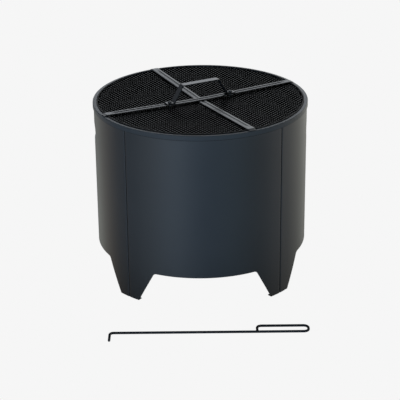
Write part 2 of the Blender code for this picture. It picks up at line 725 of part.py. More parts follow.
def build_fire_pit():
    """Build every part round the pit's axis."""
    axis = empty_at("pit_axis", (0.0, AXIS_Y, 0.0))
    build_panels(axis)
    build_seam_bolts(axis)
    build_rim(axis)
    build_drum(axis)
    build_drum_floor(axis)
    build_ash_pan(axis)
    build_grate(axis)
    lid = empty_at("lid_lift", (0.0, 0.0, 0.0), LID_TURN, axis)
    build_lid_ring(lid)
    build_spark_mesh(lid)
    upper_rib, hole_cutter = build_ribs(lid)
    build_handle(lid, upper_rib, hole_cutter)
    build_poker(axis)
    bpy.context.view_layer.update()


build_fire_pit()
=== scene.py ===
"""Looks of the round steel fire pit: finer meshes, finishes, floor, light and camera.

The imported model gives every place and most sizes. Each class builds one sub-assembly in the
same frame, in metres with +Z up, and its pieces stand for the model's plainer solids.
"""

import logging
from contextlib import contextmanager
from dataclasses import dataclass, field, replace
from enum import Enum
from math import acos, asin, atan2, ceil, cos, hypot, pi, radians, sin, tan
from typing import Iterator, Sequence

import bmesh
import bpy
from mathutils import Matrix, Vector


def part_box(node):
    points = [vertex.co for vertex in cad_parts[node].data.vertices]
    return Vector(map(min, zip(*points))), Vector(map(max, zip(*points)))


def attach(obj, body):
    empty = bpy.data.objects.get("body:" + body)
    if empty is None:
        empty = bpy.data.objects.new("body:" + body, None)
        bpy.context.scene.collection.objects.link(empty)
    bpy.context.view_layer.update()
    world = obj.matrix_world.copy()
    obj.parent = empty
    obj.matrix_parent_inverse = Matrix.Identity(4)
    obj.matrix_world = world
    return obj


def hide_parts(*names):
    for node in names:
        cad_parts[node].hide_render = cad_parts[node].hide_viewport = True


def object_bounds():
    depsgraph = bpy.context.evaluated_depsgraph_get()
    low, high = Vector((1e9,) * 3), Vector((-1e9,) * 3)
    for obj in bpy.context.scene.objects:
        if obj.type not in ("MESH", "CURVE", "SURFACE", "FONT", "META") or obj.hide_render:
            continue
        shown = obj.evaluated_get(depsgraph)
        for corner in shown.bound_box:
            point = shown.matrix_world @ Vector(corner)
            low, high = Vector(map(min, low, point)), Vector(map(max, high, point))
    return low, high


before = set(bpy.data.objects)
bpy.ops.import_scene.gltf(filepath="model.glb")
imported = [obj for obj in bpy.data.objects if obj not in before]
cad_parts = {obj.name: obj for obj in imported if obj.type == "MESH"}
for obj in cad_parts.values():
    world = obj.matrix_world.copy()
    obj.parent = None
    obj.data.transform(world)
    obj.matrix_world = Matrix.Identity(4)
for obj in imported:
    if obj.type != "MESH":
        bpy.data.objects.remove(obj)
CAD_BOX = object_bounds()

LOG = logging.getLogger("fire_pit")

Flat = tuple[float, float]
Spot = tuple[float, float, float]
Tree = bpy.types.NodeTree
Node = bpy.types.Node
Socket = bpy.types.NodeSocket
Piece = bpy.types.Object
Mesh = bpy.types.Mesh

LAY_GAP = 0.0003
MERGE = 0.00001
CORNER_SHARE = 0.45
SHARP_EDGE = radians(35)
STRAND_EDGE = radians(60)
FLAT_ANGLE = radians(0.5)
BEND_STEPS = 10
EDGE_STEPS = 2
HEXAGON = 6

CLOUD_SCALE = 9.0
SPECK_SCALE = 700.0
SPECK_SHARE = 0.6
# The height below which coats take painted shade towards the floor.
LOW_HEIGHT = 0.3
GREY = (0.5, 0.5, 0.5, 1.0)
WHITE = (1.0, 1.0, 1.0, 1.0)
DUST_COLOUR = (0.42, 0.40, 0.37, 1.0)
# Painted shade in seams, grooves and under edges: its colour, its roughness and its occlusion samples.
PAINTED_SHADE_COLOUR = (0.003, 0.003, 0.003, 1.0)
PAINTED_SHADE_ROUGHNESS = 0.95
PAINTED_SHADE_SAMPLES = 8


class Coat(Enum):
    """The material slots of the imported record."""

    SLATE = "slate_coat"
    RIB = "rib_coat"
    BLACK = "black_coat"
    STRAP = "strap_coat"
    ZINC = "zinc_steel"
    IRON = "grate_iron"
    ROD = "rod_coat"


class Corner(Enum):
    """The four seams of the wall, by their angle from the front."""

    FRONT_RIGHT = 45.0
    REAR_RIGHT = 135.0
    REAR_LEFT = 225.0
    FRONT_LEFT = 315.0


def new_group(name: str, takes: dict[str, object], gives: Sequence[str]) -> Tree:
    """Make an empty shader node group with named sockets.

    A socket named Colour holds a colour, one named Normal a vector, and any other a number.

    Args:
        name: The group's name.
        takes: Input names with their default values.
        gives: Output names.

    Returns:
        The group, with its Group Input and Group Output nodes named "in" and "out".
    """
    kinds = {"Colour": "NodeSocketColor", "Normal": "NodeSocketVector"}
    group = bpy.data.node_groups.new(name, "ShaderNodeTree")
    for label, value in takes.items():
        kind = kinds.get(label, "NodeSocketFloat")
        group.interface.new_socket(label, in_out="INPUT", socket_type=kind).default_value = value
    for label in gives:
        group.interface.new_socket(label, in_out="OUTPUT", socket_type=kinds.get(label, "NodeSocketFloat"))
    group.nodes.new("NodeGroupInput").name = "in"
    group.nodes.new("NodeGroupOutput").name = "out"
    return group


def feed(tree: Tree, node: Node, values: dict[object, object]) -> Node:
    """Give a node's inputs their values.

    Args:
        tree: The node's tree.
        node: The node.
        values: For an input's name or index, a socket to link or a plain value.

    Returns:
        The node.
    """
    for label, value in values.items():
        if isinstance(value, Socket):
            tree.links.new(value, node.inputs[label])
        else:
            node.inputs[label].default_value = value
    return node


def add(tree: Tree, kind: str, values: dict[object, object], operation: str = "") -> Node:
    """Add a shader node and feed it.

    Args:
        tree: The node tree to add it to.
        kind: The node's type, after "ShaderNode".
        values: What its inputs get.
        operation: The operation of a math node.

    Returns:
        The node.
    """
    node = tree.nodes.new("ShaderNode" + kind)
    if operation:
        node.operation = operation
    return feed(tree, node, values)


def calc(tree: Tree, operation: str, first: object, second: object) -> Socket:
    """Work on two sockets or numbers with a math node, and return its result."""
    return add(tree, "Math", {0: first, 1: second}, operation).outputs[0]


def scaled(tree: Tree, colour: object, gain: object) -> Socket:
    """Multiply a colour by a number, and return the result."""
    return add(tree, "VectorMath", {0: colour, "Scale": gain}, "SCALE").outputs[0]


def blend(tree: Tree, share: object, first: object, second: object) -> Socket:
    """Mix a share of a second colour into a first.

    Args:
        tree: The node tree to add the mix to.
        share: How much of the second colour it takes.
        first: The first colour.
        second: The second colour.

    Returns:
        The mixed colour.
    """
    node = tree.nodes.new("ShaderNodeMix")
    node.data_type = "RGBA"
    return feed(tree, node, {"Factor": share, "A": first, "B": second}).outputs["Result"]


def noise(tree: Tree, vector: object, scale: object, detail: float, rough: float = 0.5) -> Socket:
    """Add a noise texture.

    Args:
        tree: The node tree to add it to.
        vector: The socket that gives the position.
        scale: How fine the noise is.
        detail: How many finer layers it has.
        rough: How strong the finer layers are.

    Returns:
        The noise's value.
    """
    return add(tree, "TexNoise", {"Vector": vector, "Scale": scale, "Detail": detail,
                                  "Roughness": rough}).outputs["Fac"]


def use(tree: Tree, group: Tree, values: dict[object, object]) -> bpy.types.bpy_prop_collection:
    """Add a shared group to a material and feed it.

    Args:
        tree: The material's node tree.
        group: The shared group.
        values: What its inputs get.

    Returns:
        The group node's outputs.
    """
    node = tree.nodes.new("ShaderNodeGroup")
    node.node_tree = group
    return feed(tree, node, values).outputs


def make_mottle_and_shade_group() -> Tree:
    """Make the group that varies a coat's colour and gloss over the surface, and paints shade towards the
    floor.

    Returns:
        The group, with outputs Colour and Roughness.
    """
    group = new_group("coat_mottle_and_floor_shade", {"Colour": GREY, "Roughness": 0.4, "Colour Swing": 0.05,
                                      "Gloss Swing": 0.04, "Dust": 0.02, "Low Shade": 0.0},
                      ("Colour", "Roughness"))
    given = group.nodes["in"].outputs
    place = add(group, "TexCoord", {}).outputs["Object"]
    cloud = noise(group, place, CLOUD_SCALE, detail=3.0, rough=0.55)
    speck = noise(group, place, SPECK_SCALE, detail=2.0)
    both = calc(group, "ADD", calc(group, "SUBTRACT", cloud, 0.5),
                calc(group, "MULTIPLY", calc(group, "SUBTRACT", speck, 0.5), SPECK_SHARE))
    swing = calc(group, "MULTIPLY", both, calc(group, "MULTIPLY", given["Colour Swing"], 2.0))
    gloss = calc(group, "MULTIPLY", both, calc(group, "MULTIPLY", given["Gloss Swing"], 2.0))
    # Painted shade: the colour darkens towards the floor, below LOW_HEIGHT, by the Low Shade share.
    height = add(group, "SeparateXYZ", {0: place}).outputs["Z"]
    low = calc(group, "MAXIMUM", calc(group, "SUBTRACT", 1.0, calc(group, "DIVIDE", height, LOW_HEIGHT)), 0.0)
    shaded = calc(group, "MULTIPLY", calc(group, "MULTIPLY", low, low), given["Low Shade"])
    gain = calc(group, "MULTIPLY", calc(group, "ADD", swing, 1.0), calc(group, "SUBTRACT", 1.0, shaded))
    normal = add(group, "NewGeometry", {}).outputs["Normal"]
    upward = calc(group, "MAXIMUM", add(group, "SeparateXYZ", {0: normal}).outputs["Z"], 0.0)
    settled = calc(group, "MULTIPLY", calc(group, "MULTIPLY", upward, given["Dust"]), cloud)
    rough = calc(group, "ADD", calc(group, "ADD", given["Roughness"], gloss), settled)
    dusty = blend(group, settled, scaled(group, given["Colour"], gain), DUST_COLOUR)
    feed(group, group.nodes["out"], {"Colour": dusty, "Roughness": rough})
    return group


def make_grain_group() -> Tree:
    """Make the group that gives a surface its fine texture and its slight waves.

    Returns:
        The group, with the output Normal.
    """
    group = new_group("fine_grain", {"Scale": 900.0, "Depth": 0.00002, "Wave Scale": 30.0, "Wave Depth": 0.0},
                      ("Normal",))
    given = group.nodes["in"].outputs
    place = add(group, "TexCoord", {}).outputs["Object"]
    fine = calc(group, "MULTIPLY", noise(group, place, given["Scale"], detail=2.0), given["Depth"])
    wave = calc(group, "MULTIPLY", noise(group, place, given["Wave Scale"], detail=1.0), given["Wave Depth"])
    bump = add(group, "Bump", {"Distance": 1.0, "Height": calc(group, "ADD", fine, wave)})
    feed(group, group.nodes["out"], {"Normal": bump.outputs["Normal"]})
    return group


def make_crease_shade_group() -> Tree:
    """Make the group that paints shade into a coat: darker and duller in seams, grooves and under edges, by
    ambient occlusion.

    Returns:
        The group, with outputs Colour and Roughness.
    """
    group = new_group("crease_painted_shade", {"Colour": GREY, "Roughness": 0.4, "Reach": 0.006, "Strength": 2.0},
                      ("Colour", "Roughness"))
    given = group.nodes["in"].outputs
    # Painted shade: where ambient occlusion finds the surface closed in, the colour goes to near-black and
    # the roughness goes up.
    open_sky = add(group, "AmbientOcclusion", {"Distance": given["Reach"]})
    open_sky.samples = PAINTED_SHADE_SAMPLES
    closed = calc(group, "SUBTRACT", 1.0, open_sky.outputs["AO"])
    shade_mask = calc(group, "MINIMUM", calc(group, "MULTIPLY", closed, given["Strength"]), 1.0)
    dull = calc(group, "MULTIPLY", calc(group, "SUBTRACT", PAINTED_SHADE_ROUGHNESS, given["Roughness"]), shade_mask)
    feed(group, group.nodes["out"], {"Colour": blend(group, shade_mask, given["Colour"], PAINTED_SHADE_COLOUR),
                                     "Roughness": calc(group, "ADD", given["Roughness"], dull)})
    return group


@dataclass(frozen=True)
class Finish:
    """One finish of the pit, as a Principled BSDF fed by the shared groups."""

    name: str
    coat: Coat
    colour: Spot
    roughness: float
    metallic: float = 0.0
    level: float = 0.5
    swing: float = 0.05
    gloss_swing: float = 0.04
    dust: float = 0.02
    # Painted shade towards the floor.
    low_shade: float = 0.0
    grain_scale: float = 900.0
    grain_depth: float = 0.00002
    wave_scale: float = 30.0
    wave_depth: float = 0.0
    # Painted shade in seams, grooves and under edges, by ambient occlusion: its strength and its reach.
    crease: float = 0.0
    crease_reach: float = 0.006

    def material(self, mottle: Tree, grain: Tree, crease: Tree) -> bpy.types.Material:
        """Make the material.

        Args:
            mottle: The group that varies colour and gloss and paints shade towards the floor.
            grain: The group that gives the fine texture.
            crease: The group that paints shade into seams and grooves.

        Returns:
            The material.
        """
        material = bpy.data.materials.new(self.name)
        material.use_nodes = True
        tree = material.node_tree
        coat = use(tree, mottle, {"Colour": (*self.colour, 1.0), "Roughness": self.roughness,
                                  "Colour Swing": self.swing, "Gloss Swing": self.gloss_swing,
                                  "Dust": self.dust, "Low Shade": self.low_shade})
        # Painted shade in seams, grooves and under edges.
        if self.crease:
            coat = use(tree, crease, {"Colour": coat["Colour"], "Roughness": coat["Roughness"],
                                      "Reach": self.crease_reach, "Strength": self.crease})
        texture = use(tree, grain, {"Scale": self.grain_scale, "Depth": self.grain_depth,
                                    "Wave Scale": self.wave_scale, "Wave Depth": self.wave_depth})
        feed(tree, tree.nodes["Principled BSDF"], {
            "Base Color": coat["Colour"], "Roughness": coat["Roughness"], "Metallic": self.metallic,
            "Specular IOR Level": self.level, "Normal": texture["Normal"]})
        return material


# The crease and low_shade values below set painted shade: darker in seams, grooves and under edges, and
# towards the floor.
SHELL_COAT = Finish("shell_coat", Coat.SLATE, (0.050, 0.061, 0.073), 0.30, low_shade=0.55, wave_scale=12.0,
                    wave_depth=0.00002, crease=3.0, crease_reach=0.0035)
RIM_COAT = replace(SHELL_COAT, name="rim_coat", colour=(0.066, 0.080, 0.095), level=0.16, crease=0.0)
RIB_COAT = Finish("rib_coat", Coat.RIB, (0.014, 0.019, 0.025), 0.32, level=0.62, crease=2.2)
RING_COAT = Finish("ring_coat", Coat.BLACK, (0.004, 0.004, 0.0045), 0.55, level=0.10, dust=0.002)
WIRE_COAT = Finish("wire_coat", Coat.BLACK, (0.006, 0.0075, 0.0085), 0.50, level=0.12, dust=0.002)
DRUM_COAT = Finish("drum_coat", Coat.BLACK, (0.003, 0.003, 0.003), 0.75, level=0.03, swing=0.15, dust=0.002,
                   grain_depth=0.00005, crease=1.0, crease_reach=0.015)
STRAP_COAT = Finish("strap_coat", Coat.STRAP, (0.012, 0.016, 0.021), 0.30, level=0.64,
                    crease=1.2, crease_reach=0.002)
BOLT_COAT = replace(STRAP_COAT, name="bolt_coat", colour=(0.060, 0.066, 0.075), roughness=0.48, crease=0.4)
ZINC_PLATE = Finish("zinc_plate", Coat.ZINC, (0.200, 0.200, 0.195), 0.45, metallic=1.0, swing=0.12,
                    crease=1.0, crease_reach=0.003)
GRATE_IRON = Finish("grate_iron", Coat.IRON, (0.010, 0.0095, 0.009), 0.75, level=0.08, swing=0.25, dust=0.004,
                    gloss_swing=0.10, grain_scale=350.0, grain_depth=0.00012, crease=0.8, crease_reach=0.010)
ROD_COAT = Finish("rod_coat", Coat.ROD, (0.032, 0.037, 0.044), 0.55, level=0.05, dust=0.0)


def link(name: str, data: bpy.types.ID, matrix: Matrix = Matrix()) -> Piece:
    """Link an object to the scene at a place.

    Args:
        name: The object's name.
        data: Its mesh, curve or camera.
        matrix: Its place in the pit's frame.

    Returns:
        The object.
    """
    piece = bpy.data.objects.new(name, data)
    bpy.context.scene.collection.objects.link(piece)
    piece.matrix_world = matrix
    return piece


def settle(piece: Piece) -> Piece:
    """Apply an object's modifiers and its place to its mesh.

    Args:
        piece: The object, with modifiers.

    Returns:
        A new object at the origin with the finished mesh and the same name.
    """
    bpy.context.view_layer.update()
    name = piece.name
    graph = bpy.context.evaluated_depsgraph_get()
    mesh = bpy.data.meshes.new_from_object(piece.evaluated_get(graph), depsgraph=graph)
    mesh.transform(piece.matrix_world)
    bpy.data.objects.remove(piece, do_unlink=True)
    mesh.name = name
    return link(name, mesh)


@contextmanager
def opened(mesh: Mesh) -> Iterator[bmesh.types.BMesh]:
    """Open a mesh for work on its vertices and faces, and write it back at the end.

    Args:
        mesh: The mesh.

    Yields:
        Its vertices and faces.
    """
    work = bmesh.new()
    work.from_mesh(mesh)
    yield work
    work.to_mesh(mesh)
    work.free()


def shade(mesh: Mesh, angle: float = SHARP_EDGE) -> Mesh:
    """Shade a mesh smooth except at its sharp edges.

    Args:
        mesh: The mesh.
        angle: The least angle that counts as sharp.

    Returns:
        The same mesh.
    """
    mesh.shade_smooth()
    mesh.set_sharp_from_angle(angle=angle)
    return mesh


def soften(piece: Piece, width: float) -> None:
    """Round a piece's sharp edges with a Bevel modifier.

    Args:
        piece: The piece.
        width: How far the rounding reaches from the edge.
    """
    bevel = piece.modifiers.new("soft_edges", "BEVEL")
    bevel.width = width
    bevel.segments = EDGE_STEPS
    bevel.limit_method = "ANGLE"
    bevel.angle_limit = SHARP_EDGE
    bevel.harden_normals = True


@dataclass
class Bench:
    """Dresses pieces and lets them ride on their bodies."""

    groups: list[Tree] = field(init=False)
    materials: dict[str, bpy.types.Material] = field(default_factory=dict)
    made: int = 0

    def __post_init__(self) -> None:
        """Make the shared groups."""
        self.groups = [make_mottle_and_shade_group(), make_grain_group(), make_crease_shade_group()]

    def dress(self, piece: Piece, finish: Finish, body: str, node: str, edge: float = 0.0) -> None:
        """Round a piece's edges, and give it its finish, its body and its node.

        Args:
            piece: The piece, in place.
            finish: Its finish, whose material is made at its first use.
            body: The body that it rides on.
            node: The model's node that it replaces.
            edge: How far the rounding of its edges reaches.
        """
        if edge:
            soften(piece, edge)
        if finish.name not in self.materials:
            self.materials[finish.name] = finish.material(*self.groups)
        piece.data.materials.clear()
        piece.data.materials.append(self.materials[finish.name])
        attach(piece, body)
        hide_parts(node)
        self.made += 1
        LOG.info("%s on %s in %s", piece.name, body, finish.name)


def rounded(points: Sequence[Flat], radius: float, steps: int = 6) -> list[Flat]:
    """Round the inner corners of a path.

    Args:
        points: The path's corners.
        radius: The radius of each corner's arc.
        steps: Straight runs in each arc.

    Returns:
        The rounded path.
    """
    path = [points[0]]
    for before, corner, after in zip(points, points[1:], points[2:]):
        ax, ay = before[0] - corner[0], before[1] - corner[1]
        bx, by = after[0] - corner[0], after[1] - corner[1]
        la, lb = hypot(ax, ay), hypot(bx, by)
        ax, ay, bx, by = ax / la, ay / la, bx / lb, by / lb
        opening = acos(max(-1.0, min(1.0, ax * bx + ay * by)))
        reach = min(radius / tan(opening / 2), la * CORNER_SHARE, lb * CORNER_SHARE)
        bend = reach * tan(opening / 2)
        mx, my = ax + bx, ay + by
        scale = hypot(reach, bend) / hypot(mx, my)
        cx, cy = corner[0] + mx * scale, corner[1] + my * scale
        start = atan2(corner[1] + ay * reach - cy, corner[0] + ax * reach - cx)
        end = atan2(corner[1] + by * reach - cy, corner[0] + bx * reach - cx)
        sweep = (end - start + pi) % (2 * pi) - pi
        for step in range(steps + 1):
            angle = start + sweep * step / steps
            path.append((cx + bend * cos(angle), cy + bend * sin(angle)))
    path.append(points[-1])
    return path


def thickened(path: Sequence[Flat], thickness: float) -> list[Flat]:
    """Return the closed outline of a sheet whose middle line is the path.

    Args:
        path: The sheet's middle line.
        thickness: The sheet's thickness.

    Returns:
        The outline's points.
    """
    left, right = [], []
    for index, (x, y) in enumerate(path):
        before = path[max(index - 1, 0)]
        after = path[min(index + 1, len(path) - 1)]
        ax, ay = x - before[0], y - before[1]
        bx, by = after[0] - x, after[1] - y
        if index == 0:
            ax, ay = bx, by
        if index == len(path) - 1:
            bx, by = ax, ay
        la, lb = hypot(ax, ay), hypot(bx, by)
        nx, ny = -(ay / la + by / lb), ax / la + bx / lb
        stretch = thickness / (nx * nx + ny * ny)
        left.append((x + nx * stretch, y + ny * stretch))
        right.append((x - nx * stretch, y - ny * stretch))
    return left + right[::-1]


def circle(radius: float, steps: int) -> list[Flat]:
    """Return the points of a circle round the origin."""
    angles = [2 * pi * step / steps for step in range(steps)]
    return [(radius * cos(angle), radius * sin(angle)) for angle in angles]


def lathe(name: str, outline: Sequence[Flat], steps: int) -> Mesh:
    """Turn a closed outline of (radius, height) points round Z.

    Args:
        name: The mesh's name.
        outline: The outline's points, with any points on the axis at its ends.
        steps: Faces round the axis.

    Returns:
        The mesh, shaded smooth with its sharp edges kept.
    """
    mesh = bpy.data.meshes.new(name)
    with opened(mesh) as work:
        rings = []
        for radius, height in outline:
            if radius < MERGE:
                rings.append([work.verts.new((0.0, 0.0, height))] * steps)
            else:
                rings.append([work.verts.new((x, y, height)) for x, y in circle(radius, steps)])
        for ring, following in zip(rings, rings[1:] + rings[:1]):
            for step in range(steps):
                there = (step + 1) % steps
                corners = list(dict.fromkeys([ring[step], ring[there], following[there], following[step]]))
                if len(corners) > 2:
                    work.faces.new(corners)
        bmesh.ops.recalc_face_normals(work, faces=work.faces)
    return shade(mesh)


def pin_cutter(places: Sequence[Matrix], radius: float, length: float, sides: int) -> Piece:
    """Make a cutter of pins.

    Args:
        places: The pins' middles, with their length along Z.
        radius: Their radius.
        length: Their length.
        sides: How many sides a pin has.

    Returns:
        The cutter.
    """
    mesh = bpy.data.meshes.new("pins")
    with opened(mesh) as work:
        for where in places:
            bmesh.ops.create_cone(work, cap_ends=True, segments=sides, radius1=radius, radius2=radius,
                                  depth=length, matrix=where)
    return link("pin_cutter", mesh)


def drill(piece: Piece, cutter: Piece) -> Piece:
    """Cut a piece with a cutter, then remove the cutter.

    Args:
        piece: The piece.
        cutter: The cutter.

    Returns:
        The finished piece.
    """
    boolean = piece.modifiers.new("cut", "BOOLEAN")
    boolean.operation = "DIFFERENCE"
    boolean.solver = "EXACT"
    boolean.object = cutter
    piece = settle(piece)
    bpy.data.objects.remove(cutter, do_unlink=True)
    shade(piece.data)
    return piece


def slot_loop(length: float, width: float, centre: Flat = (0.0, 0.0), steps: int = 12) -> list[Flat]:
    """Return the outline of a slot along X with round ends.

    Args:
        length: The slot's whole length.
        width: Its width.
        centre: Its middle.
        steps: Straight runs in each round end.

    Returns:
        The slot's outline.
    """
    run, half = (length - width) / 2, width / 2
    loop = []
    for side, first in ((1, -pi / 2), (-1, pi / 2)):
        for step in range(steps + 1):
            angle = first + pi * step / steps
            loop.append((centre[0] + side * run + half * cos(angle), centre[1] + half * sin(angle)))
    return loop


def line_curve(name: str, loops: Sequence[Sequence[Flat]], height: float, closed: bool) -> bpy.types.Curve:
    """Make a curve of straight runs.

    Args:
        name: The curve's name.
        loops: The points of each line.
        height: The height of all points.
        closed: Whether each line runs back to its start.

    Returns:
        The curve.
    """
    curve = bpy.data.curves.new(name, "CURVE")
    curve.dimensions = "2D" if closed else "3D"
    for loop in loops:
        spline = curve.splines.new("POLY")
        spline.points.add(len(loop) - 1)
        for point, (x, y) in zip(spline.points, loop):
            point.co = (x, y, height, 1.0)
        spline.use_cyclic_u = closed
    return curve


def plate(name: str, loops: Sequence[Sequence[Flat]], thickness: float) -> Mesh:
    """Make a flat plate, centred on Z, from its outline and its holes' outlines.

    Args:
        name: The mesh's name.
        loops: The outline and the holes.
        thickness: The plate's thickness.

    Returns:
        The plate's mesh.
    """
    curve = line_curve(name + "_outline", loops, 0.0, True)
    curve.fill_mode = "BOTH"
    curve.extrude = thickness / 2
    guide = link(name + "_outline", curve)
    graph = bpy.context.evaluated_depsgraph_get()
    mesh = bpy.data.meshes.new_from_object(guide.evaluated_get(graph))
    bpy.data.objects.remove(guide, do_unlink=True)
    mesh.name = name
    with opened(mesh) as work:
        bmesh.ops.remove_doubles(work, verts=work.verts, dist=MERGE / 10)
        bmesh.ops.recalc_face_normals(work, faces=work.faces)
        bmesh.ops.dissolve_limit(work, angle_limit=FLAT_ANGLE, verts=work.verts, edges=work.edges)
    return shade(mesh)


@dataclass(frozen=True)
class PitPlace:
    """Where the pit stands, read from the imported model."""

    axis_y: float
    rim_radius: float
    rim_height: float

    @classmethod
    def from_frame(cls) -> "PitPlace":
        """Read the rim ring's box."""
        low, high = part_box("rim_ring")
        return cls((low[1] + high[1]) / 2, (high[0] - low[0]) / 2, high[2])

    def matrix(self, turn: float = 0.0) -> Matrix:
        """Return the place of a piece that is built round the pit's axis and turned about it."""
        return Matrix.Translation((0.0, self.axis_y, 0.0)) @ Matrix.Rotation(turn, 4, "Z")


@dataclass(frozen=True)
class Fasteners:
    """The domed bolts and hexagon nuts that hold the seams and the handle."""

    radius: float = 0.003
    head_radius: float = 0.0055
    head: float = 0.0035
    head_rim: float = 0.0024
    socket: float = 0.0021
    socket_depth: float = 0.0016
    thread: float = 0.0003
    pitch: float = 0.001
    play: float = 0.0004
    tip: float = 0.002
    nut_radius: float = 0.0058
    nut: float = 0.005
    skirt_radius: float = 0.0075
    skirt: float = 0.0012
    edge: float = 0.0005
    dome_steps: int = 8
    steps: int = 36

    def bolt(self, name: str, seat: float, tip: float, where: Matrix) -> Piece:
        """Build a bolt with a domed head, a hexagon socket and a threaded shank.

        Args:
            name: The piece's name.
            seat: The height of its head's underside.
            tip: The height of its tip.
            where: The place of its axis.

        Returns:
            The bolt, not yet dressed.
        """
        dome = self.head - self.head_rim
        outline = []
        for step in range(self.dome_steps + 1):
            angle = pi / 2 * (1 - step / self.dome_steps)
            outline.append((self.head_radius * cos(angle), seat + self.head_rim + dome * sin(angle)))
        outline += [(self.head_radius, seat), (self.radius, seat)]
        for turn in range(1, int((seat - tip) / self.pitch)):
            height = seat - turn * self.pitch
            outline += [(self.radius, height), (self.radius - self.thread, height - self.pitch / 2)]
        outline += [(self.radius - self.thread, tip), (0.0, tip)]
        piece = link(name, lathe(name, outline, self.steps), where)
        low = seat + self.head - self.socket_depth
        high = seat + self.head + self.socket_depth / 2
        socket = pin_cutter([where @ Matrix.Translation((0.0, 0.0, (low + high) / 2))],
                            self.socket, high - low, HEXAGON)
        return drill(piece, socket)

    def nut_piece(self, name: str, middle: float, where: Matrix) -> Piece:
        """Build a hexagon nut round a height on an axis.

        Args:
            name: The piece's name.
            middle: The height of its middle.
            where: The place of its axis.

        Returns:
            The nut, not yet dressed.
        """
        loops = [circle(self.nut_radius, HEXAGON), circle(self.radius + self.play, self.steps)]
        piece = link(name, plate(name, loops, self.nut), where @ Matrix.Translation((0.0, 0.0, middle)))
        soften(piece, self.edge)
        return settle(piece)

    def flange_nut(self, name: str, top: float, where: Matrix) -> Piece:
        """Build a hexagon nut with a skirt, whose top face is at a height on an axis.

        Args:
            name: The piece's name.
            top: The height of its skirt's face.
            where: The place of its axis.

        Returns:
            The nut, not yet dressed.
        """
        bore, low = self.radius + self.play, top - self.skirt
        outline = [(bore, top), (self.skirt_radius, top), (self.skirt_radius, low), (bore, low - self.edge)]
        skirt = settle(link(name + "_skirt", lathe(name + "_skirt", outline, self.steps), where))
        body = self.nut_piece(name, low - self.nut / 2, where)
        with opened(body.data) as work:
            work.from_mesh(skirt.data)
        bpy.data.objects.remove(skirt, do_unlink=True)
        shade(body.data)
        return body


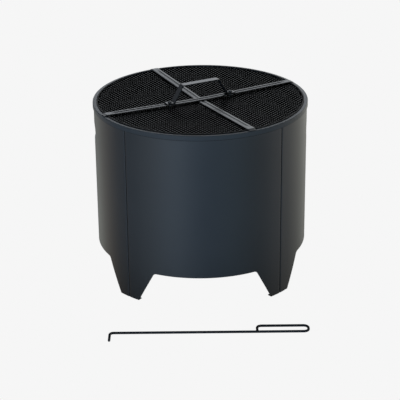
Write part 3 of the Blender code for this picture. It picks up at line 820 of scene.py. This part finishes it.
@dataclass
class Wall:
    """The four rolled panels with their legs, seam flanges and foot tabs, and the rim ring."""

    bench: Bench
    place: PitPlace
    sheet: float = 0.002
    rim_sheet: float = 0.002
    rim_slip: float = 0.0005
    rim_ledge: float = 0.0135
    skirt_drop: float = 0.013
    skirt_bend: float = 0.0018
    drum_sheet: float = 0.0015
    seam_gap: float = 0.0012
    seam_bend: float = 0.0025
    seam_flange: float = 0.020
    flange_lift: float = 0.012
    arch_height: float = 0.0955
    arch_round: float = 0.012
    foot_half: float = 0.0355
    leg_half: float = 0.089
    tab_depth: float = 0.014
    tab_start: float = 0.008
    hand_width: float = 0.100
    hand_height: float = 0.050
    hand_drop: float = 0.084
    hand_cut: float = 0.020
    bolt_edge: float = 0.007
    low_bolt: float = 0.062
    high_bolt_drop: float = 0.067
    fasteners: Fasteners = Fasteners()
    arc_steps: int = 30
    leg_steps: int = 12
    corner_steps: int = 8
    seam_steps: int = 6
    rim_steps: int = 180
    edge: float = 0.0004

    @property
    def radius(self) -> float:
        """The wall's outer radius."""
        return self.place.rim_radius - self.rim_sheet - self.rim_slip

    @property
    def top(self) -> float:
        """The height of the panels' top edge."""
        return self.place.rim_height - self.rim_sheet - self.drum_sheet - 2 * LAY_GAP

    def leg_outline(self) -> list[tuple[float, float, bool]]:
        """Work out the lower edge of half a panel, from its seam to its middle.

        Returns:
            For each point its distance from the seam, its height and whether it is on the foot.
        """
        slope = atan2(self.arch_height, self.leg_half - self.foot_half)
        reach = self.arch_round * tan(slope / 2)
        middle_foot = (self.tab_start + self.foot_half) / 2
        edge = [(run, 0.0, True) for run in (self.tab_start, middle_foot, self.foot_half)]
        run = hypot(self.leg_half - self.foot_half, self.arch_height) - reach
        for step in range(1, self.leg_steps):
            along = run * step / self.leg_steps
            edge.append((self.foot_half + along * cos(slope), along * sin(slope), False))
        centre = (self.leg_half + reach, self.arch_height - self.arch_round)
        for step in range(self.corner_steps + 1):
            angle = slope * (1 - step / self.corner_steps)
            edge.append((centre[0] - self.arch_round * sin(angle),
                         centre[1] + self.arch_round * cos(angle), False))
        middle = self.radius * pi / len(Corner)
        start = edge[-1][0]
        for step in range(1, self.arc_steps + 1):
            edge.append((start + (middle - start) * step / self.arc_steps, self.arch_height, False))
        return edge

    def columns(self) -> list[tuple[float, float, float, bool]]:
        """Work out half a panel's plan on the outer face, from its middle to its flange's end.

        Returns:
            For each column its X, its Y, the height of its lower end and whether it is on the foot.
        """
        half_angle = pi / len(Corner)
        columns = []
        for run, height, on_foot in reversed(self.leg_outline()):
            angle = half_angle - run / self.radius
            columns.append((self.radius * sin(angle), -self.radius * cos(angle), height, on_foot))
        along = (sin(half_angle), -cos(half_angle))
        across = (-cos(half_angle), -sin(half_angle))
        lean = asin((self.seam_gap / 2 + self.seam_bend) / (self.radius - self.seam_bend))
        centre = ((self.radius - self.seam_bend) * cos(lean), self.seam_gap / 2 + self.seam_bend)
        bend = []
        for step in range(self.seam_steps + 1):
            angle = lean - (pi / 2 + lean) * step / self.seam_steps
            bend.append((centre[0] + self.seam_bend * cos(angle), centre[1] + self.seam_bend * sin(angle)))
        bend.append((self.radius - self.seam_flange, self.seam_gap / 2))
        for step, (out, aside) in enumerate(bend):
            x = out * along[0] + aside * across[0]
            y = out * along[1] + aside * across[1]
            columns.append((x, y, self.flange_lift if step > self.seam_steps else 0.0, False))
        return columns

    def half_panel(self) -> Mesh:
        """Build half a panel as an open surface: wall, seam flange and foot tab.

        Returns:
            The surface.
        """
        columns = self.columns()
        mesh = bpy.data.meshes.new("half_panel")
        with opened(mesh) as work:
            low = [work.verts.new((x, y, height)) for x, y, height, _ in columns]
            high = [work.verts.new((x, y, self.top)) for x, y, _, _ in columns]
            for index in range(len(columns) - 1):
                work.faces.new((low[index], low[index + 1], high[index + 1], high[index]))
            inward = 1 - self.tab_depth / self.radius
            tab = {index: work.verts.new((x * inward, y * inward, 0.0))
                   for index, (x, y, _, on_foot) in enumerate(columns) if on_foot}
            for index in tab:
                if index + 1 in tab:
                    work.faces.new((low[index + 1], low[index], tab[index], tab[index + 1]))
        return shade(mesh)

    def hand_cutter(self, turn: float) -> Piece:
        """Make the cutter of one hand hole.

        Args:
            turn: How far its panel is turned from the front.

        Returns:
            The cutter.
        """
        mesh = plate("hand_hole", [slot_loop(self.hand_width, self.hand_height)], self.hand_cut)
        where = Matrix.Translation((0.0, -self.radius, self.place.rim_height - self.hand_drop))
        return link("hand_cutter", mesh, self.place.matrix(turn) @ where @ Matrix.Rotation(pi / 2, 4, "X"))

    def build_panels(self) -> None:
        """Build the four panels, with a hand hole in the right and the left one."""
        mesh = self.half_panel()
        for index, name in enumerate(("front_panel", "right_panel", "rear_panel", "left_panel")):
            turn = index * 2 * pi / len(Corner)
            piece = link(name + "_skin", mesh.copy(), self.place.matrix(turn))
            mirror = piece.modifiers.new("mirror", "MIRROR")
            mirror.merge_threshold = MERGE
            solid = piece.modifiers.new("sheet", "SOLIDIFY")
            solid.thickness = self.sheet
            solid.offset = -1.0
            solid.use_even_offset = True
            if index % 2:
                piece = drill(piece, self.hand_cutter(turn))
            else:
                piece = settle(piece)
                shade(piece.data)
            self.bench.dress(piece, SHELL_COAT, "pit", name, self.edge)

    def build_rim(self) -> None:
        """Build the rim ring: a flat ledge with a rounded edge and a short skirt."""
        middle = self.rim_sheet / 2
        top, out = self.place.rim_height, self.place.rim_radius
        path = [(out - self.rim_ledge, top - middle), (out - middle, top - middle),
                (out - middle, top - self.skirt_drop)]
        outline = thickened(rounded(path, self.skirt_bend - middle), self.rim_sheet)
        mesh = lathe("rim_ring_skin", outline, self.rim_steps)
        piece = settle(link("rim_ring_skin", mesh, self.place.matrix()))
        self.bench.dress(piece, RIM_COAT, "pit", "rim_ring", self.edge)

    def build_seam_bolts(self) -> None:
        """Build the bolts and nuts across the seams' flanges."""
        kit = self.fasteners
        seat = self.sheet + self.seam_gap / 2 + LAY_GAP
        out = self.radius - self.seam_flange + self.bolt_edge
        high = self.top - self.high_bolt_drop
        levels = (("low", self.low_bolt), ("middle", (self.low_bolt + high) / 2), ("high", high))
        for corner in Corner:
            for level, height in levels:
                name = f"{corner.name.lower()}_{level}"
                where = (self.place.matrix(radians(corner.value)) @ Matrix.Translation((0.0, -out, height))
                         @ Matrix.Rotation(pi / 2, 4, "Y"))
                bolt = kit.bolt(f"seam_bolt_{name}_skin", seat, -(seat + kit.nut + kit.tip), where)
                self.bench.dress(bolt, ZINC_PLATE, "pit", "seam_bolt_" + name)
                nut = kit.nut_piece(f"seam_nut_{name}_skin", -(seat + kit.nut / 2), where)
                self.bench.dress(nut, ZINC_PLATE, "pit", "seam_nut_" + name)

    def build(self) -> None:
        """Build the whole wall."""
        self.build_panels()
        self.build_rim()
        self.build_seam_bolts()


@dataclass
class Hearth:
    """The inner drum with its vents, its floor, the ash pan and the fire grate."""

    bench: Bench
    place: PitPlace
    wall: Wall
    sheet: float = 0.0015
    flange_air: float = 0.0078
    floor_lift: float = 0.025
    step: float = 0.055
    step_width: float = 0.013
    bend: float = 0.003
    inlet: float = 0.060
    vent: float = 0.008
    vent_drop: float = 0.036
    vents: int = 16
    vent_cut: float = 0.012
    vent_sides: int = 32
    grate: float = 0.005
    grate_slip: float = 0.007
    grate_rim: float = 0.018
    slot_width: float = 0.016
    slot_pitch: float = 0.034
    slot_bridge: float = 0.030
    slot_least: float = 0.032
    pan_sheet: float = 0.0012
    pan_slip: float = 0.004
    pan_room: float = 0.023
    pan_lip: float = 0.006
    pan_flare: float = 0.008
    edge: float = 0.0004
    steps: int = 144

    @property
    def top(self) -> float:
        """The height of the drum's flange."""
        return self.place.rim_height - self.wall.rim_sheet - LAY_GAP

    @property
    def radius(self) -> float:
        """The drum's outer radius."""
        return self.wall.radius - self.wall.seam_flange - self.flange_air

    @property
    def floor(self) -> float:
        """The height of the drum's floor."""
        return self.wall.arch_height + self.floor_lift

    @property
    def seat(self) -> float:
        """The height of the step that carries the grate."""
        return self.floor + self.step

    def turned(self, node: str, path: Sequence[Flat], sheet: float) -> Piece:
        """Turn a sheet's path round the pit's axis.

        Args:
            node: The node that the piece stands for.
            path: The sheet's middle line as (radius, height).
            sheet: The sheet's thickness.

        Returns:
            The piece, not yet dressed.
        """
        name = node + "_skin"
        mesh = lathe(name, thickened(rounded(path, self.bend), sheet), self.steps)
        return link(name, mesh, self.place.matrix())

    def build_drum(self) -> None:
        """Build the drum's rolled wall, with the flange that it hangs by and its vents."""
        middle = self.sheet / 2
        wall = self.radius - middle
        path = [(self.wall.radius - LAY_GAP, self.top - middle), (wall, self.top - middle),
                (wall, self.seat + LAY_GAP)]
        places = [self.place.matrix(2 * pi * (index + 0.5) / self.vents)
                  @ Matrix.Translation((0.0, -wall, self.top - self.vent_drop))
                  @ Matrix.Rotation(pi / 2, 4, "X") for index in range(self.vents)]
        cutter = pin_cutter(places, self.vent, self.vent_cut, self.vent_sides)
        piece = drill(self.turned("fire_drum", path, self.sheet), cutter)
        self.bench.dress(piece, DRUM_COAT, "pit", "fire_drum", self.edge)

    def build_floor(self) -> None:
        """Build the pressed floor: the grate's step, the pot and the air inlet."""
        middle = self.sheet / 2
        pot = self.radius - self.step_width - middle
        path = [(self.radius, self.seat - middle), (pot, self.seat - middle), (pot, self.floor + middle),
                (self.inlet, self.floor + middle)]
        piece = settle(self.turned("drum_floor", path, self.sheet))
        self.bench.dress(piece, DRUM_COAT, "pit", "drum_floor", self.edge)

    def build_pan(self) -> None:
        """Build the ash pan: a flared round pan with an outward lip."""
        base = self.floor + self.sheet + LAY_GAP + self.pan_sheet / 2
        lip = self.radius - self.step_width - self.sheet - self.pan_slip
        wall, top = lip - self.pan_lip, self.seat - self.pan_room
        path = [(lip, top), (wall, top), (wall - self.pan_flare, base), (0.0, base)]
        piece = settle(self.turned("ash_pan", path, self.pan_sheet))
        self.bench.dress(piece, DRUM_COAT, "ash_pan", "ash_pan", self.edge)

    def build_grate(self) -> None:
        """Build the fire grate: a round iron plate with slots on each side of a bridge."""
        radius = self.radius - self.sheet - self.grate_slip
        loops = [circle(radius, self.steps)]
        rows = int((radius - self.grate_rim - self.slot_width / 2) / self.slot_pitch)
        for row in range(-rows, rows + 1):
            y = row * self.slot_pitch
            far = abs(y) + self.slot_width / 2
            length = max((radius - self.grate_rim) ** 2 - far ** 2, 0.0) ** 0.5 - self.slot_bridge / 2
            if length > self.slot_least:
                for side in (-1, 1):
                    x = side * (self.slot_bridge / 2 + length / 2)
                    loops.append(slot_loop(length, self.slot_width, (x, y)))
        height = self.seat + LAY_GAP + self.grate / 2
        piece = link("fire_grate_skin", plate("fire_grate_skin", loops, self.grate),
                     self.place.matrix() @ Matrix.Translation((0.0, 0.0, height)))
        self.bench.dress(settle(piece), GRATE_IRON, "grate", "fire_grate", 2 * self.edge)

    def build(self) -> None:
        """Build the drum, its floor, the pan and the grate."""
        self.build_drum()
        self.build_floor()
        self.build_pan()
        self.build_grate()


@dataclass
class Lid:
    """The mesh lid: ring, mesh, two ribs, strap handle with its bolts and nuts."""

    bench: Bench
    place: PitPlace
    fasteners: Fasteners = Fasteners()
    turn: float = radians(25.5)
    mesh_turn: float = radians(-2.0)
    ring: float = 0.002
    set_in: float = 0.0108
    rim_ledge: float = 0.0135
    slip: float = 0.0005
    lap: float = 0.0015
    shown_lap: float = 0.0005
    wire: float = 0.0007
    cell_wide: float = 0.0115
    cell_deep: float = 0.0182
    strand_dip: float = 0.0010
    knot: float = 0.0004
    knot_wide: float = 0.0050
    knot_deep: float = 0.0070
    rib_width: float = 0.022
    rib_sheet: float = 0.0015
    rib_skin: float = 0.0009
    bead: float = 0.0016
    bead_wide: float = 0.0090
    rib_flat: float = 0.030
    sag: float = 0.0057
    end_past: float = 0.0075
    end_bend: float = 0.004
    bead_fade: float = 0.012
    strap_width: float = 0.020
    strap: float = 0.003
    handle_top: float = 0.050
    half_top: float = 0.058
    half_foot: float = 0.086
    tab: float = 0.022
    bend: float = 0.007
    mesh_sheet: float = 0.0012
    ring_steps: int = 180
    rib_steps: int = 60
    bead_steps: int = 6
    bead_power: float = 0.7
    lip: float = 0.0013
    lip_share: float = 0.3
    edge: float = 0.0003

    @property
    def base(self) -> float:
        """The height of the lid ring's underside."""
        return self.place.rim_height + LAY_GAP

    @property
    def radius(self) -> float:
        """The lid ring's outer radius."""
        return self.place.rim_radius - self.set_in

    @property
    def mesh_radius(self) -> float:
        """The mesh's radius."""
        return self.place.rim_radius - self.rim_ledge - self.slip

    @property
    def inner(self) -> float:
        """The lid ring's inner radius."""
        return self.mesh_radius - self.lap

    @property
    def rib_end(self) -> float:
        """The height of the ribs' top face over the ring."""
        return self.base + self.ring + LAY_GAP + self.rib_sheet

    @property
    def rib_depth(self) -> float:
        """A rib's whole depth with its bead."""
        return self.rib_skin + self.bead

    def middle_height(self, upper: bool) -> float:
        """Return the height of a rib's top face at the lid's middle."""
        top = self.rib_end - self.sag
        return top if upper else top - self.rib_depth - LAY_GAP

    def rib_height(self, run: float, upper: bool) -> float:
        """Work out the height of a rib's top face.

        Args:
            run: The distance from the lid's middle.
            upper: Whether it is the rib that carries the handle.

        Returns:
            The height.
        """
        low = self.middle_height(upper)
        share = max(0.0, abs(run) - self.rib_flat) / (self.inner - self.rib_flat)
        down = (self.ring + LAY_GAP) * min(1.0, max(0.0, abs(run) - self.radius) / self.end_bend)
        return low + (self.rib_end - low) * min(share, 1.0) - down

    def dish(self, radius: float) -> float:
        """Return the height of the mesh's top face at a radius."""
        low, edge = self.middle_height(False) - self.rib_depth - LAY_GAP, self.base - LAY_GAP
        return low + (edge - low) * (radius / self.mesh_radius) ** 2

    def build_ring(self) -> None:
        """Build the flat black ring that lies on the rim."""
        inner = self.mesh_radius - self.shown_lap
        outline = [(inner, self.ring), (self.radius, self.ring), (self.radius, 0.0), (inner, 0.0)]
        piece = link("lid_ring_skin", lathe("lid_ring_skin", outline, self.ring_steps),
                     self.place.matrix() @ Matrix.Translation((0.0, 0.0, self.base)))
        self.bench.dress(settle(piece), RING_COAT, "lid", "lid_ring", 2 * self.edge)

    def crossings(self, odd: bool, reach: float) -> Iterator[tuple[int, int, float, float]]:
        """Go through every other point of the mesh's grid within a reach.

        Args:
            odd: Whether the odd points are wanted or the even ones.
            reach: How far from the lid's middle they may be.

        Yields:
            A point's column, row, x and y.
        """
        half_x, half_y = self.cell_wide / 2, self.cell_deep / 2
        across, along = ceil(self.mesh_radius / half_x), ceil(self.mesh_radius / half_y)
        for column in range(-across, across + 1):
            for row in range(-along, along + 1):
                x, y = column * half_x, row * half_y
                if (column + row) % 2 == odd and hypot(x, y) <= reach:
                    yield column, row, x, y

    def build_mesh(self) -> None:
        """Build the dished mesh: staggered diamond cells whose strands dip between their knots."""
        points: dict[tuple[int, int], bmesh.types.BMVert] = {}
        middles: dict[tuple[int, int], bmesh.types.BMVert] = {}

        def point(column: int, row: int) -> bmesh.types.BMVert:
            """Make a knot at its first use, pulled in to the mesh's edge.

            Args:
                column: The knot's column.
                row: The knot's row.

            Returns:
                The knot.
            """
            if (column, row) not in points:
                x, y = column * self.cell_wide / 2, row * self.cell_deep / 2
                far = hypot(x, y)
                pull = min(1.0, (self.mesh_radius - self.wire) / far) if far else 1.0
                height = self.dish(far * pull) - self.wire / 2
                points[(column, row)] = work.verts.new((x * pull, y * pull, height))
            return points[(column, row)]

        def middle(first: tuple[int, int], second: tuple[int, int]) -> bmesh.types.BMVert:
            """Make the middle of a strand at its first use, lower than the knots at its ends.

            Args:
                first: One knot's column and row.
                second: The other knot's column and row.

            Returns:
                The middle.
            """
            key = (first[0] + second[0], first[1] + second[1])
            if key not in middles:
                spot = (point(*first).co + point(*second).co) / 2
                spot.z -= self.strand_dip
                middles[key] = work.verts.new(spot)
            return middles[key]

        mesh = bpy.data.meshes.new("spark_mesh_skin")
        with opened(mesh) as work:
            for column, row, _, _ in self.crossings(False, self.mesh_radius):
                knots = [(column + 1, row), (column, row + 1), (column - 1, row), (column, row - 1)]
                loop = []
                for here, there in zip(knots, knots[1:] + knots[:1]):
                    loop += [point(*here), middle(here, there)]
                work.faces.new(loop)
        piece = link("spark_mesh_skin", mesh, self.place.matrix(self.mesh_turn))
        strands = piece.modifiers.new("strands", "WIREFRAME")
        strands.thickness = self.wire
        strands.use_even_offset = True
        strands.use_replace = True
        strands.use_boundary = True
        piece = settle(piece)
        self.add_knots(piece)
        shade(piece.data, STRAND_EDGE)
        self.bench.dress(piece, WIRE_COAT, "lid", "spark_mesh")

    def add_knots(self, piece: Piece) -> None:
        """Add the flat knots where the mesh's strands cross.

        Args:
            piece: The mesh's strands.
        """
        wide, deep = self.knot_wide / 2, self.knot_deep / 2
        shape = ((wide, 0.0), (wide / 2, deep), (-wide / 2, deep),
                 (-wide, 0.0), (-wide / 2, -deep), (wide / 2, -deep))
        turn = self.place.matrix(self.mesh_turn)
        with opened(piece.data) as work:
            for _, _, x, y in self.crossings(True, self.mesh_radius - wide):
                top = self.dish(hypot(x, y))
                corners = []
                for dx, dy in shape:
                    pull = min(1.0, (self.mesh_radius - self.wire) / hypot(x + dx, y + dy))
                    corners.append(((x + dx) * pull, (y + dy) * pull))
                upper, lower = [[work.verts.new(turn @ Vector((*corner, height))) for corner in corners]
                                for height in (top, top - self.knot)]
                work.faces.new(upper)
                work.faces.new(lower[::-1])
                for index in range(len(shape)):
                    there = (index + 1) % len(shape)
                    work.faces.new((upper[there], upper[index], lower[index], lower[there]))

    def rib_profile(self, full: float) -> list[Flat]:
        """Return a rib's top face across its width.

        Args:
            full: The share of the bead's whole depth.

        Returns:
            Points as (aside, drop).
        """
        half, wide, lip = self.rib_width / 2, self.bead_wide / 2, self.lip
        side = [(-half, -lip), (-half + self.lip_share * lip, -self.lip_share * lip),
                (-half + lip, 0.0), (-wide - lip, 0.0)]
        for step in range(self.bead_steps + 1):
            share = step / self.bead_steps
            depth = self.bead * full * sin(pi / 2 * share) ** self.bead_power
            side.append((-wide * (1 - share), -depth))
        return side + [(-aside, drop) for aside, drop in reversed(side[:-1])]

    def build_rib(self, name: str, upper: bool, turn: float) -> Piece:
        """Build one rib with its pressed bead.

        Args:
            name: The node that it stands for.
            upper: Whether it is the rib that carries the handle.
            turn: Its direction from +X.

        Returns:
            The rib, not yet dressed.
        """
        reach = self.radius + self.end_past
        runs = [reach * (2 * step / self.rib_steps - 1) for step in range(self.rib_steps + 1)]
        runs += [side * (self.radius + past) for side in (-1, 1) for past in (0.0, self.end_bend)]
        mesh = bpy.data.meshes.new(name + "_skin")
        with opened(mesh) as work:
            rows = []
            for run in sorted(runs):
                full = min(1.0, max(0.0, (self.inner - self.bead_fade - abs(run)) / self.bead_fade))
                height = self.rib_height(run, upper)
                rows.append([work.verts.new((run, aside, height + drop))
                             for aside, drop in self.rib_profile(full)])
            for here, there in zip(rows, rows[1:]):
                for index in range(len(here) - 1):
                    work.faces.new((here[index], there[index], there[index + 1], here[index + 1]))
        piece = link(name + "_skin", shade(mesh), self.place.matrix(turn))
        solid = piece.modifiers.new("sheet", "SOLIDIFY")
        solid.thickness = self.rib_skin
        solid.offset = -1.0
        return piece

    def build_ribs(self) -> None:
        """Build the two crossing ribs."""
        for name, upper, turn in (("upper_rib", True, self.turn), ("lower_rib", False, self.turn + pi / 2)):
            piece = settle(self.build_rib(name, upper, turn))
            shade(piece.data)
            self.bench.dress(piece, RIB_COAT, "lid", name)

    def build_handle(self) -> None:
        """Build the strap handle with bent feet on the upper rib."""
        middle = self.strap / 2
        end, foot = self.half_foot + self.tab, self.half_foot
        grip = self.place.rim_height + self.handle_top - middle
        lift = LAY_GAP + middle
        path = [(end, self.rib_height(end, True) + lift), (foot, self.rib_height(foot, True) + lift),
                (self.half_top, grip), (0.0, grip)]
        half = rounded(path, self.bend, BEND_STEPS)[:-1]
        whole = half + [(-x, z) for x, z in reversed(half)]
        mesh = plate("lid_handle_skin", [thickened(whole, self.strap)], self.strap_width)
        piece = settle(link("lid_handle_skin", mesh,
                            self.place.matrix(self.turn) @ Matrix.Rotation(pi / 2, 4, "X")))
        shade(piece.data)
        self.bench.dress(piece, STRAP_COAT, "lid", "lid_handle", 2 * self.edge)

    def build_bolts(self) -> None:
        """Build the handle's bolts and the flange nuts under the mesh."""
        kit = self.fasteners
        out = self.half_foot + self.tab / 2
        seat = self.rib_height(out, True) + self.strap + 3 * LAY_GAP
        under = self.dish(out - kit.skirt_radius) - self.mesh_sheet - LAY_GAP
        tip = under - kit.skirt - kit.nut - kit.tip
        for side, x in (("left", -out), ("right", out)):
            where = self.place.matrix(self.turn) @ Matrix.Translation((x, 0.0, 0.0))
            bolt = kit.bolt(f"handle_bolt_{side}_skin", seat, tip, where)
            self.bench.dress(bolt, BOLT_COAT, "lid", "handle_bolt_" + side)
            nut = kit.flange_nut(f"handle_nut_{side}_skin", under, where)
            self.bench.dress(nut, ZINC_PLATE, "lid", "handle_nut_" + side)

    def build(self) -> None:
        """Build the whole lid."""
        self.build_ring()
        self.build_mesh()
        self.build_ribs()
        self.build_handle()
        self.build_bolts()


@dataclass
class Poker:
    """The poker: one rod with a hook at its tip and a closed loop as its grip."""

    bench: Bench
    place: PitPlace
    rod: float = 0.0035
    away: float = 0.137
    left: float = 0.250
    right: float = 0.287
    hook: float = 0.042
    hook_bend: float = 0.010
    loop_length: float = 0.139
    loop_width: float = 0.033
    loop_round: float = 0.013
    loop_steps: int = 12
    rod_steps: int = 6
    turn: float = radians(-2.0)

    def build(self) -> None:
        """Build the poker as one bent round rod."""
        front = -(self.place.rim_radius + self.away)
        back = front + self.loop_width
        start = self.right - self.loop_length
        hook = rounded([(-self.left, front - self.hook), (-self.left, front), (0.0, front)],
                       self.hook_bend, BEND_STEPS)
        grip = rounded([(0.0, front), (self.right, front), (self.right, back), (start, back),
                        (start, front + 2 * self.rod + LAY_GAP)], self.loop_round, self.loop_steps)
        curve = line_curve("poker_skin", [hook + grip[1:]], self.rod, False)
        curve.bevel_depth = self.rod
        curve.bevel_resolution = self.rod_steps
        curve.use_fill_caps = True
        piece = settle(link("poker_skin", curve, self.place.matrix(self.turn)))
        shade(piece.data)
        self.bench.dress(piece, ROD_COAT, "poker", "poker")


@dataclass(frozen=True)
class Glow:
    """One soft patch of light in the studio's surroundings."""

    azimuth: float
    elevation: float
    colour: Spot

    def direction(self) -> Spot:
        """Return the direction towards the patch. Azimuth 0 is the front, -Y, and 90 the right, +X."""
        a, e = radians(self.azimuth), radians(self.elevation)
        return (sin(a) * cos(e), -cos(a) * cos(e), sin(e))


GLOWS = (
    Glow(-120.0, -30.0, (0.21, 0.12, 0.02)),
    Glow(-120.0, 0.0, (0.40, 0.43, 0.48)),
    Glow(-60.0, 0.0, (0.84, 0.80, 0.70)),
    Glow(-30.0, 0.0, (1.80, 2.16, 2.58)),
    Glow(0.0, 0.0, (0.31, 0.42, 0.65)),
    Glow(30.0, 0.0, (0.51, 0.68, 0.77)),
    Glow(60.0, 0.0, (0.21, 0.16, 0.02)),
    Glow(90.0, 0.0, (1.01, 0.92, 0.85)),
    Glow(120.0, 0.0, (1.35, 1.30, 1.13)),
    Glow(150.0, 0.0, (1.62, 1.62, 1.48)),
    Glow(180.0, 24.0, (1.52, 1.60, 1.71)),
    Glow(210.0, -30.0, (0.52, 0.54, 0.50)),
)


@dataclass
class Studio:
    """The pale floor, the surrounding light and the camera."""

    place: PitPlace
    backdrop: float = 0.9216
    fill: float = 0.02
    spread: float = radians(20.0)
    floor_radius: float = 30.0
    floor_sides: int = 96
    lens: float = 129.25
    sensor: float = 36.0
    distance: float = 3.857
    height: float = 1.8668
    around: float = radians(-2.0)
    aside: float = -0.00093
    pitch: float = 0.4077
    roll: float = -0.0103

    def build_floor(self) -> None:
        """Make the floor, which looks evenly pale to the camera and leaves the lighting to the world."""
        mesh = bpy.data.meshes.new("floor")
        with opened(mesh) as work:
            bmesh.ops.create_circle(work, cap_ends=True, segments=self.floor_sides, radius=self.floor_radius)
        floor = link("floor", mesh, Matrix.Translation((0.0, 0.0, CAD_BOX[0][2] - LAY_GAP)))
        material = bpy.data.materials.new("pale_floor")
        material.use_nodes = True
        tree = material.node_tree
        tree.nodes.clear()
        light = add(tree, "Emission", {"Color": WHITE, "Strength": self.backdrop})
        add(tree, "OutputMaterial", {"Surface": light.outputs[0]})
        mesh.materials.append(material)
        floor.visible_diffuse = False
        floor.visible_glossy = False
        floor.visible_shadow = False

    def build_world(self) -> None:
        """Light the pit from its surroundings: an even fill and soft patches of light."""
        world = bpy.data.worlds.new("studio")
        bpy.context.scene.world = world
        world.use_nodes = True
        tree = world.node_tree
        tree.nodes.clear()
        where = add(tree, "TexCoord", {}).outputs["Generated"]
        sharp = 1.0 / (1.0 - cos(self.spread))
        total = add(tree, "CombineXYZ", {index: self.fill for index in range(3)}).outputs[0]
        for glow in GLOWS:
            facing = add(tree, "VectorMath", {0: where, 1: glow.direction()}, "DOT_PRODUCT").outputs["Value"]
            power = calc(tree, "MULTIPLY", calc(tree, "SUBTRACT", facing, 1.0), sharp)
            light = scaled(tree, glow.colour, calc(tree, "EXPONENT", power, 0.0))
            total = add(tree, "VectorMath", {0: total, 1: light}, "ADD").outputs[0]
        lit = add(tree, "Background", {"Color": total})
        seen = add(tree, "Background", {"Color": WHITE, "Strength": self.backdrop})
        to_camera = add(tree, "LightPath", {}).outputs["Is Camera Ray"]
        choice = add(tree, "MixShader", {0: to_camera, 1: lit.outputs[0], 2: seen.outputs[0]})
        add(tree, "OutputWorld", {"Surface": choice.outputs[0]})

    def build_camera(self) -> None:
        """Place the camera at the photograph's viewing angle."""
        data = bpy.data.cameras.new("camera")
        data.lens = self.lens
        data.sensor_width = self.sensor
        yaw = -self.around + self.aside
        ahead = Vector((sin(yaw) * cos(self.pitch), cos(yaw) * cos(self.pitch), -sin(self.pitch)))
        level = Vector((cos(yaw), -sin(yaw), 0.0))
        upward = level.cross(ahead)
        right = cos(self.roll) * level + sin(self.roll) * upward
        up = cos(self.roll) * upward - sin(self.roll) * level
        turned = Matrix((right, up, -ahead)).transposed().to_4x4()
        where = Vector((self.distance * sin(self.around),
                        self.place.axis_y - self.distance * cos(self.around), self.height))
        bpy.context.scene.camera = link("camera", data, Matrix.Translation(where) @ turned)

    def build(self) -> None:
        """Make the floor, the light and the camera."""
        self.build_floor()
        self.build_world()
        self.build_camera()
        bpy.context.scene.view_settings.view_transform = "Standard"


def main() -> None:
    """Build the pit's looks in order."""
    logging.basicConfig(level=logging.INFO, format="%(name)s: %(message)s")
    place = PitPlace.from_frame()
    bench = Bench()
    wall = Wall(bench, place)
    for part in (wall, Hearth(bench, place, wall), Lid(bench, place), Poker(bench, place), Studio(place)):
        part.build()
        LOG.info("%s done", type(part).__name__)
    bpy.context.view_layer.update()


if __name__ == "__main__":
    main()
